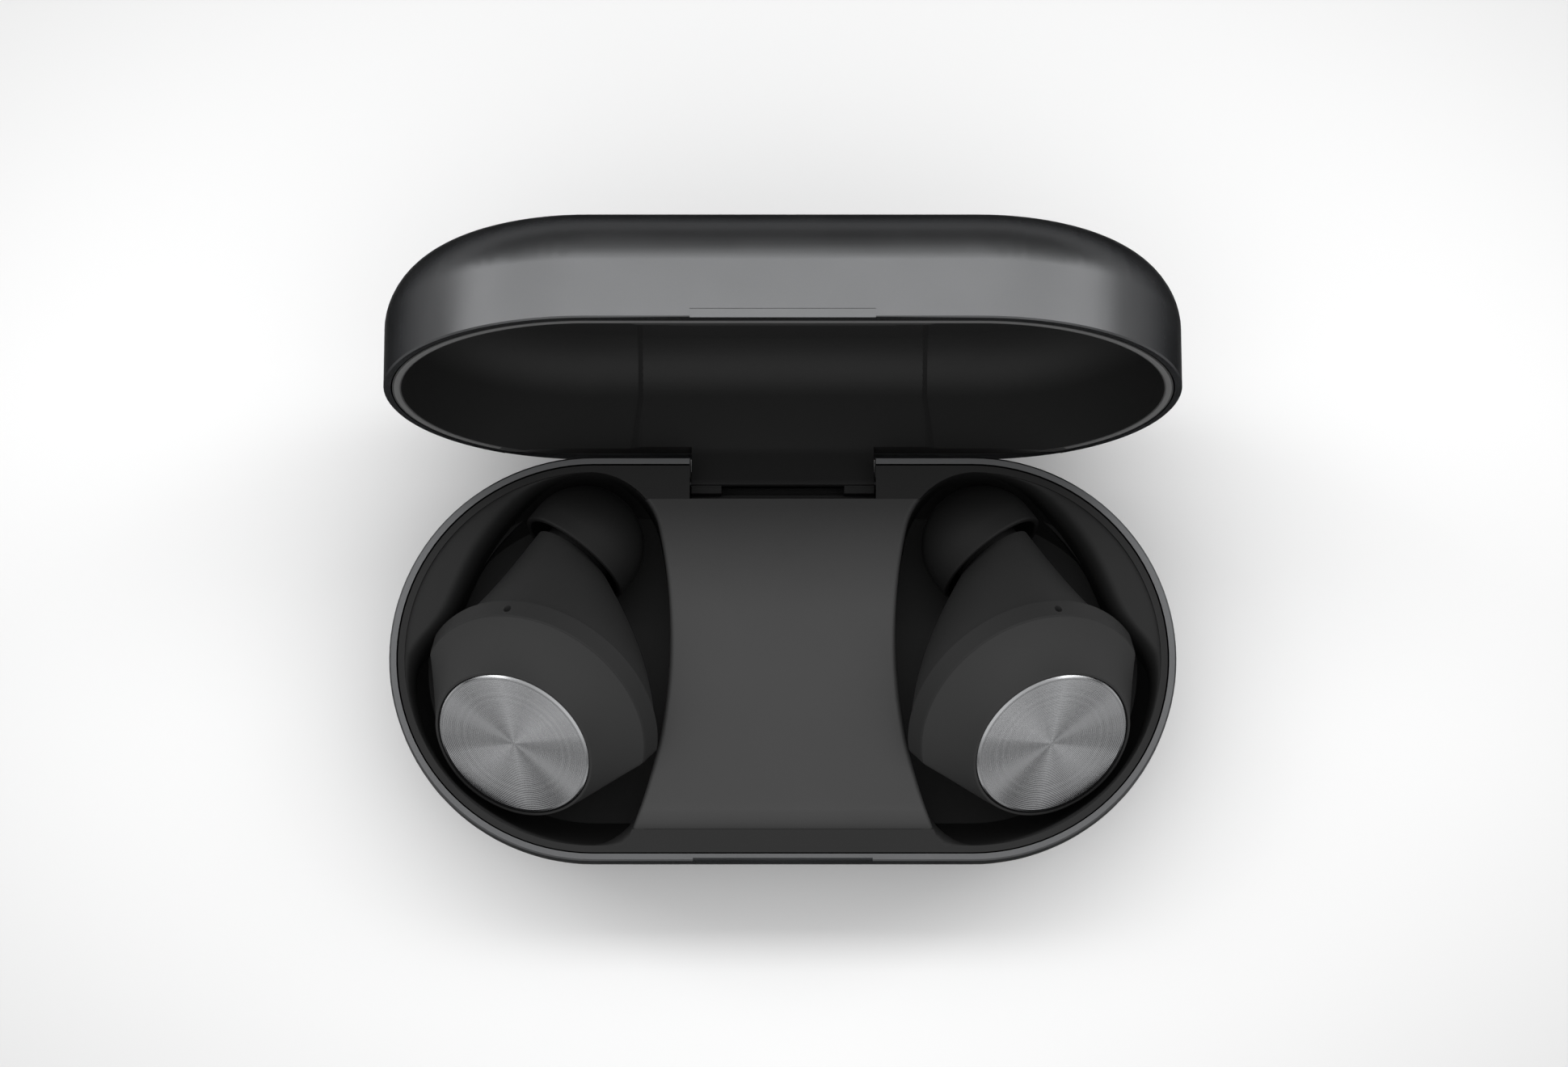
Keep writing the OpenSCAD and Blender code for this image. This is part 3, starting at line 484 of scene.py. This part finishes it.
def swung(points, degrees):
    """Points turned about the hinge pin: SWING closes the open lid, -SWING opens it"""
    turn = np.radians(degrees)
    spin = np.array([[1, 0, 0], [0, np.cos(turn), np.sin(turn)], [0, -np.sin(turn), np.cos(turn)]])
    return HINGE + (points - HINGE) @ spin


def shallow_recess(points):
    """The recess of the lid, which is found with the lid closed, becomes shallower"""
    shut = eased_recess(swung(points, SWING), RIM_Z, RIM_Z + 2 * RECESS_H, LID_RECESS_DEPTH)
    return swung(shut, -SWING)


smooth_copy("lid_shell", "lid", shell_finish, shallow_recess)


# Lid liner: a moulding bonded into the lid. Its flat middle panel runs on into the hinge tongue,
# with a rounded cavity on each side for the tops of the buds.
PANEL_HALF, SLOPE_W, STEEP_W = 13.7, 1.6, 0.6


def steep_sides(points):
    """The foot of the slope at each side of the panel comes in along x, so the slope is narrower"""
    x, y, z = points.T
    foot = abs(abs(x) - PANEL_HALF - SLOPE_W) < 0.05
    return np.stack([np.where(foot, np.sign(x) * (PANEL_HALF + STEEP_W), x), y, z], 1)


liner_finish = moulded("liner_polymer", 0.021, 0.55, 0.25)
smooth_copy("lid_liner", "lid", liner_finish, steep_sides)


# Lid lip: a band of lighter polymer on the liner's mouth. It runs from the front round both ends and
# stops short of the hinge.
LID_RIM_Z = RIM_Z + 0.15
LIP_TURN = 150
LIP_ACROSS = np.array([18.42, 18.5, 18.9, 18.98, 18.98, 18.42])
LIP_HEIGHT = np.array([-0.02, -0.05, -0.05, -0.02, 0.3, 0.3]) + LID_RIM_Z


def lip_points():
    """A flat band with eased edges: its section goes along the straight front and round each end"""
    turn = np.radians(np.linspace(0, LIP_TURN, 120))
    straight = np.linspace(0, -MIDDLE_X, 30)[:-1]
    middle = np.concatenate([straight, 0 * turn - MIDDLE_X])
    ray = np.stack([np.sin(turn), -np.cos(turn)], 1)
    ray = np.concatenate([np.tile(ray[0], (len(straight), 1)), ray])
    middle = np.concatenate([-middle[:0:-1], middle])
    ray = np.concatenate([ray[:0:-1] * [-1, 1], ray])
    plan = middle[:, None, None] * [1, 0] + LIP_ACROSS[:, None] * ray[:, None]
    height = np.broadcast_to(LIP_HEIGHT[:, None], plan.shape[:2] + (1,))
    return swung(capped(np.concatenate([plan, height], -1)), -SWING)


lip = lip_points()
lip_faces = sheet_faces(*lip.shape[:2], around=True)
lip_mesh = skin("lip", lip, lip_faces, moulded("lip_polymer", 0.12, 0.6, 0.3))
put(lip_mesh, "lid_lip", "lid", 40)


# Touch plates: discs of spun aluminium with a polished bevel, bonded into the caps. The turning tool
# leaves fine rings, which are real grooves here; the flashes of light across them are painted
# highlights in the tone.
PLATE_R, DISH, RING_PITCH, RING_DEPTH = 7.6, 0.25, 0.14, 0.026
PLATE_EDGE = [[7.76, 0], [7.79, -0.01], [7.97, -0.19], [8, -0.22], [8, -0.6], [0, -0.6]]
# Painted highlights: the tone of the radial flashes of light on the spun plate, by the share of half a
# turn.
PAINTED_FLASH_STOPS = [(share, grey(level)) for share, level in (  # share of half a turn, tone
    (0, 0.4), (0.04, 0.3), (0.11, 0.6), (0.167, 1), (0.24, 0.65), (0.33, 0.3), (0.38, 0.35),
    (0.45, 0.6), (0.54, 0.45), (0.66, 0.1), (0.71, 0.2), (0.75, 0.8), (0.87, 0.85), (0.94, 0.6),
    (1, 0.4))]


def tilted_axes(lean, turn):
    """Rows are the axes of a frame whose z leans from upright towards a heading, in degrees"""
    lean, turn = np.radians([lean, turn])
    return np.array([[np.cos(lean) * np.cos(turn), np.cos(lean) * np.sin(turn), -np.sin(lean)],
                     [-np.sin(turn), np.cos(turn), 0],
                     [np.sin(lean) * np.cos(turn), np.sin(lean) * np.sin(turn), np.cos(lean)]])


BUD_POS = np.array([-26.2, -9.155, 17.1])
BUD_AXES = tilted_axes(49.1, 239.9)


def lathe(radius, height, turns, origin, axes):
    """Points at radius and height, arrays over (profile, turn), about z of the tilted frame"""
    x, y = radius * np.cos(turns), radius * np.sin(turns)
    return origin + np.stack(np.broadcast_arrays(x, y, height), -1) @ axes


def bud_piece(name, points, material, loop=True, bend=32):
    """Puts the skin of a lathed or lofted piece on both buds; loop joins its last row to its first"""
    if loop:
        points = np.concatenate([points, points[:1]])
    faces = sheet_faces(*points.shape[:2], around=True)
    pieces = []
    for side in ("left", "right"):
        mesh = skin(side + name, mirrored(points, side), faces, material)
        pieces.append(stand_in(mesh, f"{side}_{name}", side + "_bud", bend))
    return pieces


def plate_profile():
    """(r, h): a shallow dish with a cosine of rings that fades out at the middle, then the bevel,
    the edge and the back"""
    r = np.linspace(0, PLATE_R, 272)
    dish = -DISH * (1 - (r / PLATE_R) ** 2)
    groove = RING_DEPTH / 2 * (1 - np.cos(2 * np.pi * r / RING_PITCH)) * np.clip(r / 0.4, 0, 1)
    return np.concatenate([np.stack([r, dish - groove], 1), PLATE_EDGE])


def spun_alloy():
    """Aluminium with turning lines: tone and roughness change with the distance from the plate's
    middle, and painted highlights, flashes of light the same in both halves of a turn, change the tone"""
    material, place = new_finish("spun_plate", Metallic=1.0)
    spot = place.node("UVMap", {"uv_map": "plate"})
    reach = place.node("VectorMath", {"operation": "LENGTH"}, 1, i0=spot)
    lines = place.node("TexNoise", {"noise_dimensions": "1D"}, W=reach * 2600, Scale=1.0, Detail=2.0)
    x, y = [place.node("SeparateXYZ", out=k, Vector=spot) for k in (0, 1)]
    half_turns = place.math("FRACT", place.math("ARCTAN2", y, x) * (1 / np.pi))
    # Painted highlight: flashes of light painted into the tone by the turn round the plate's middle.
    painted_flash = place.node("ValToRGB", {"stops": PAINTED_FLASH_STOPS}, Fac=half_turns)
    tone = (0.65 * painted_flash + 0.35 * lines).mix(grey(0.26, 0.01), grey(0.5, 0.01))
    feed(material, Base_Color=tone, Roughness=0.17 + 0.1 * lines)
    return material


plate_turns = np.linspace(0, 2 * np.pi, 180, endpoint=False)
plate_r, plate_h = plate_profile().T[..., None]
plate_points = lathe(plate_r, plate_h, plate_turns, BUD_POS, BUD_AXES)
plates = bud_piece("touch_plate", plate_points, spun_alloy(), loop=False, bend=70)
for plate, side in zip(plates, ("left", "right")):
    mesh = plate.data
    spots = np.empty(len(mesh.vertices) * 3)
    mesh.vertices.foreach_get("co", spots)
    local = (mirrored(spots.reshape(-1, 3), side) - BUD_POS * MM) @ BUD_AXES.T
    corners = np.empty(len(mesh.loops), np.int32)
    mesh.loops.foreach_get("vertex_index", corners)
    mesh.uv_layers.new(name="plate").data.foreach_set("uv", local[corners, :2].ravel())


# Caps: flared mouldings of fine matte polymer that carry the touch plates. Their lower half is cut
# by three flats, so that a bud stands clear of the well's floor.
FLATS = np.radians([55.2, 3.5, -48.2])
FLAT_OUT, FLAT_IN = 8.45, 7.45
CAP_R, CAP_FOOT = 11.9, -4.65
CAP_HOLLOW = 0.45 * np.array([0.784, 0.62, 0])
bud_turns = np.radians(np.arange(0, 360, 1.5))


def trimmed(radius, turns, limit):
    """The smaller of radius and limit / cos(turn - flat), the nearest flat's edge, blended softly"""
    toward = np.max(np.cos(turns[:, None] - FLATS), 1)
    edge = np.where(toward > 0.1, limit / np.maximum(toward, 0.1), 99)
    return -np.logaddexp(-8 * radius, -8 * edge) / 8


def softened(corners, reach):
    """A polyline whose inner corners become curves: each starts and ends reach before and after the
    corner and follows a quadratic Bezier curve between"""
    corners = np.array(corners, float)
    before, at, after = corners[:-2], corners[1:-1], corners[2:]
    span_in = np.linalg.norm(before[:, :2] - at[:, :2], axis=1, keepdims=True)
    span_out = np.linalg.norm(after[:, :2] - at[:, :2], axis=1, keepdims=True)
    start = at + (before - at) * np.minimum(reach / span_in, 0.45)
    end = at + (after - at) * np.minimum(reach / span_out, 0.45)
    s = np.linspace(0, 1, 6)[:, None]
    curve = start[:, None] * (1 - s) ** 2 + 2 * at[:, None] * s * (1 - s) + end[:, None] * s ** 2
    return np.concatenate([corners[:1], curve.reshape(-1, corners.shape[1]), corners[-1:]])


def turned(profile, turns):
    """A lathed piece of the bud from rows of (radius, height, distance of the flats)"""
    r, h, limit = profile.T[..., None]
    return lathe(trimmed(r, turns, limit), h, turns, BUD_POS, BUD_AXES)


def cap_profile():
    """From the plate's seat over a hollow flank to the foot, and back inside to the middle"""
    s = np.linspace(0, 1, 28)[:, None]
    flank = np.array([8.3, -0.1, FLAT_OUT]) * (1 - s) + np.array([CAP_R, CAP_FOOT, FLAT_OUT]) * s
    flank -= CAP_HOLLOW * 4 * s * (1 - s)
    seat = [[7.9, -0.6, FLAT_OUT], [8.05, -0.6, FLAT_OUT], [8.05, -0.1, FLAT_OUT], *flank[:2]]
    inside = [*flank[-2:], [10.3, CAP_FOOT, FLAT_IN], [7, -1.6, FLAT_IN], [6, -1.6, FLAT_IN]]
    return np.concatenate([[[0, -0.6, FLAT_OUT]], softened(seat, 0.06), flank[2:-2],
                           softened(inside, 0.14), [[0, -1.6, FLAT_IN]]])


cap_finish = moulded("cap_polymer", 0.028, 0.65, 0.2)
bud_piece("outer_housing", turned(cap_profile(), bud_turns), cap_finish, loop=False)


# Bands: rings of polymer behind the caps, darker than the caps', each with a small hole for the
# microphone near the top and a fine chamfer at the back.
BAND_R, BAND_BACK = 12.5, -6.6
HOLE_TURN, HOLE_H, HOLE_R, HOLE_EDGE, HOLE_DEPTH = 214, -5.53, 0.36, 0.06, 1.5


def band_profile():
    """From the joint with the cap along the flared face to the chamfer, and back inside"""
    s = np.linspace(0.06, 0.9, 34)[:, None]
    face = np.array([CAP_R, CAP_FOOT, FLAT_OUT]) * (1 - s) + np.array([BAND_R, BAND_BACK, FLAT_OUT]) * s
    back = [[12.44, -6.41, FLAT_OUT], [BAND_R, BAND_BACK, FLAT_OUT], [10.3, BAND_BACK, FLAT_IN],
            [10.3, CAP_FOOT, FLAT_IN], [11, CAP_FOOT, FLAT_IN]]
    joint = [[11.7, CAP_FOOT, 8.4], [11.84, -4.66, 8.44]]
    return np.concatenate([joint, face, softened(back, 0.12)])


def drilled_band():
    """The band with its radius drawn in by HOLE_DEPTH round the microphone's place"""
    near_hole = np.radians(HOLE_TURN + np.linspace(-2.2, 2.2, 31))
    turns = np.sort(np.concatenate([bud_turns, near_hole]))
    r, h, limit = band_profile().T[..., None]
    from_hole = np.hypot(12.2 * (turns - np.radians(HOLE_TURN)), h - HOLE_H)
    hole = np.clip((HOLE_R - from_hole) / HOLE_EDGE, 0, 1) * (r > 11.85)
    return lathe(trimmed(r, turns, limit) - HOLE_DEPTH * hole, h, turns, BUD_POS, BUD_AXES)


bud_piece("middle_ring", drilled_band(), moulded("band_polymer", 0.02, 0.65, 0.2))


# Cones: the inner housings, lofted from the band to the neck, with the sound nozzle on their end.
# The side towards the saddle is full and the outer side drawn in; the underside is straight.
NECK_POS = BUD_POS + [5.6, 19.475, -6.1]
TIP_AXES = tilted_axes(98.7, 52.4)
CONE_R, NECK_R = 12.1, 4.2
NOZZLE = [[NECK_R, 0], [2.6, 0.05], [2.6, 5.6], [1.8, 5.6], [1.8, -2.5], [3, -2.5]]


def cone_rows(inset, start, end, steps):
    """Sections from the trimmed band outline to the neck's circle. The middle goes straight; a
    point's offset from it changes from one outline to the other as along ** power, where power
    follows the turn"""
    back, out = -BUD_AXES[2], TIP_AXES[2]
    swing = np.cross(back, out)
    cross = np.array([[0, -swing[2], swing[1]], [swing[2], 0, -swing[0]], [-swing[1], swing[0], 0]])
    turn_over = np.eye(3) + cross + cross @ cross / (1 + back @ out)
    around = np.cos(bud_turns)[:, None] * BUD_AXES[0] + np.sin(bud_turns)[:, None] * BUD_AXES[1]
    degrees = np.degrees(bud_turns)
    full, drawn_in = np.exp(-((degrees - 115) / 55) ** 2), np.exp(-((degrees - 262) / 45) ** 2)
    along = np.linspace(start, end, steps)[:, None, None]
    blend = along ** (1 + 0.4 * full - 0.2 * drawn_in)[:, None]
    outline = trimmed(CONE_R - inset + 0 * bud_turns, bud_turns, FLAT_OUT - inset)[:, None]
    neck = around @ turn_over.T * (NECK_R - inset)
    middle = (BUD_POS + BAND_BACK * BUD_AXES[2]) * (1 - along) + NECK_POS * along
    return middle + around * outline * (1 - blend) + neck * blend


def nozzle_rows(profile):
    """Rings about the nozzle's axis, turned so that they start where the cone's rows start"""
    out = TIP_AXES[2]
    x = BUD_AXES[0] - out * (BUD_AXES[0] @ out)
    x /= np.linalg.norm(x)
    r, h = profile.T[..., None]
    return lathe(r, h, bud_turns, NECK_POS, np.array([x, np.cross(out, x), out]))


cone_points = np.concatenate([cone_rows(0, 0, 0.985, 40), nozzle_rows(softened(NOZZLE, 0.25)[1:-1]),
                              cone_rows(1, 0.8, 0, 12)])
bud_piece("inner_housing", cone_points, moulded("cone_polymer", 0.021, 0.65, 0.2))


# Ear tips: soft silicone mushrooms pushed onto the nozzles. A sleeve grips the nozzle, and a thin
# domed skirt turns back over it.
TIP_R, TIP_INSIDE, SKIRT_H = 5.9, 5.3, 1.7
TIP_EDGE = [[TIP_INSIDE, 0.4], [TIP_INSIDE, 0], [TIP_R, 0], [TIP_R, 1.0]]
TIP_SLEEVE = [[2.4, 7.1], [2.1, 7.25], [2.1, 5.8], [2.62, 5.8], [2.62, 0], [3.5, 0], [3.5, 5.4]]


def dome(radius, first, last, steps):
    """An arc of (r, h) above the skirt, between two turns in degrees"""
    turn = np.radians(np.linspace(first, last, steps))
    return np.stack([radius * np.cos(turn), SKIRT_H + radius * np.sin(turn)], 1)


tip_profile = np.concatenate([softened(TIP_EDGE, 0.28), dome(TIP_R, 0, 66, 24),
                              softened(TIP_SLEEVE, 0.15), dome(TIP_INSIDE, 48, 0, 16)])
tip_r, tip_h = tip_profile.T[..., None]
tip_points = lathe(tip_r, tip_h, bud_turns, NECK_POS, TIP_AXES)
bud_piece("ear_tip", tip_points, moulded("silicone", 0.009, 0.6, 0.2))


# Inside the buds: a board, a cell, a driver and a magnet, with a woven screen in the nozzle and
# gold pads under the cone. In the tray, a pair of sprung gold pins meets the pads.
bud_hidden = {"nozzle_mesh": steel, "bud_contacts": gold, "bud_cell": foil, "bud_board": green_board,
              "bud_driver": steel, "bud_magnet": nickel, "contact_pins": gold}
for side in ("left", "right"):
    for piece, material in bud_hidden.items():
        paint(f"{side}_{piece}", material)


# Studio: a pale floor with a painted pool of light round the object, an arch of three strip softboxes
# towards the rear, and a sky that is brighter in front. The camera looks down on the front of the open
# case.
FLOOR_HALF = 3.0
PAINTED_POOL_START, PAINTED_POOL_END = 0.055, 0.15


def floor_finish():
    """Pale paint with a painted pool of light: it grows darker softly with the distance from the object
    """
    material, place = new_finish("pale_floor", Roughness=0.9, Specular_IOR_Level=0.1)
    across = place.node("Mapping", Vector=place, Location=(0, -0.022, 0), Scale=(1, 1.4, 0))
    reach = place.node("VectorMath", {"operation": "LENGTH"}, 1, i0=across)
    # Painted light falloff: the floor's colour darkens from the pool's start to its end.
    painted_light_falloff = place.node("MapRange", {"interpolation_type": "SMOOTHSTEP"}, Value=reach,
                      From_Min=PAINTED_POOL_START, From_Max=PAINTED_POOL_END)
    pale = grain(place, 80 * MM).mix(grey(0.89), grey(0.91))
    feed(material, Base_Color=painted_light_falloff.mix(pale, grey(0.62)))
    return material


floor_mesh = bpy.data.meshes.new("floor")
floor_corners = np.array([[-1, -1, 0], [1, -1, 0], [1, 1, 0], [-1, 1, 0]]) * FLOOR_HALF
floor_mesh.from_pydata(floor_corners.tolist(), [], [(0, 1, 2, 3)])
floor_mesh.materials.append(floor_finish())
floor = bpy.data.objects.new("floor", floor_mesh)
bpy.context.scene.collection.objects.link(floor)


def softbox(name, size, place, power):
    """A rectangular lamp that faces the origin"""
    lamp = bpy.data.lights.new(name, "AREA")
    lamp.shape = "RECTANGLE"
    lamp.size, lamp.size_y = size
    lamp.energy = power
    lit = bpy.data.objects.new(name, lamp)
    bpy.context.scene.collection.objects.link(lit)
    lit.location = place
    lit.rotation_euler = (-Vector(place)).to_track_quat("-Z", "Y").to_euler()


softbox("overhead", (1.5, 0.24), (0, 0.45, 0.89), 3.8)
softbox("left", (0.34, 0.72), (-0.8, 0.385, 0.475), 2.3)
softbox("right", (0.34, 0.72), (0.8, 0.385, 0.475), 2.3)

REAR_SKY = [(0.0, grey(0.05)), (0.35, grey(0.12)), (0.7, grey(0.5)), (1.0, grey(0.8))]
FRONT_SKY = [(0.0, grey(0.12)), (0.3, grey(0.7)), (1.0, grey(1.05))]
world = bpy.data.worlds.new("studio")
bpy.context.scene.world = world
world.use_nodes = True
sky = Wire(world.node_tree).node("TexCoord")
height = sky.node("SeparateXYZ", out=2, Vector=sky)
rearward = sky.node("SeparateXYZ", out=1, Vector=sky)
frontward = sky.node("MapRange", {"interpolation_type": "SMOOTHSTEP"}, Value=rearward,
                     From_Min=0.1, From_Max=-0.6)
glow = frontward.mix(sky.node("ValToRGB", {"stops": REAR_SKY}, Fac=height),
                     sky.node("ValToRGB", {"stops": FRONT_SKY}, Fac=height))
background = world.node_tree.nodes["Background"]
world.node_tree.links.new(glow.socket, background.inputs["Color"])
background.inputs["Strength"].default_value = 1.15

PHOTO_W, SENSOR_W = 1940, 36
ELEVATION, DISTANCE = np.radians(80.83), 0.707
FOCAL_PX, RAISED_PX, ASIDE_PX = 8944.0, 153.8, 1.5
ahead = Vector((0, np.cos(ELEVATION), -np.sin(ELEVATION)))
upward = Vector((0, np.sin(ELEVATION), np.cos(ELEVATION)))
aside = Vector((1, 0, 0))
camera = bpy.data.objects.new("camera", bpy.data.cameras.new("camera"))
bpy.context.scene.collection.objects.link(camera)
camera.data.sensor_width = SENSOR_W
camera.data.lens = SENSOR_W * FOCAL_PX / PHOTO_W
camera.data.clip_start = 0.01
stand = Vector((0, 0, RIM_Z * MM)) - DISTANCE * ahead
looks = (ahead + upward * (RAISED_PX / FOCAL_PX) + aside * (ASIDE_PX / FOCAL_PX)).normalized()
side_axis = looks.cross(upward).normalized()
facing = Matrix((side_axis, side_axis.cross(looks), -looks)).transposed().to_4x4()
camera.matrix_world = Matrix.Translation(stand) @ facing
bpy.context.scene.camera = camera
bpy.context.scene.view_settings.view_transform = "Standard"
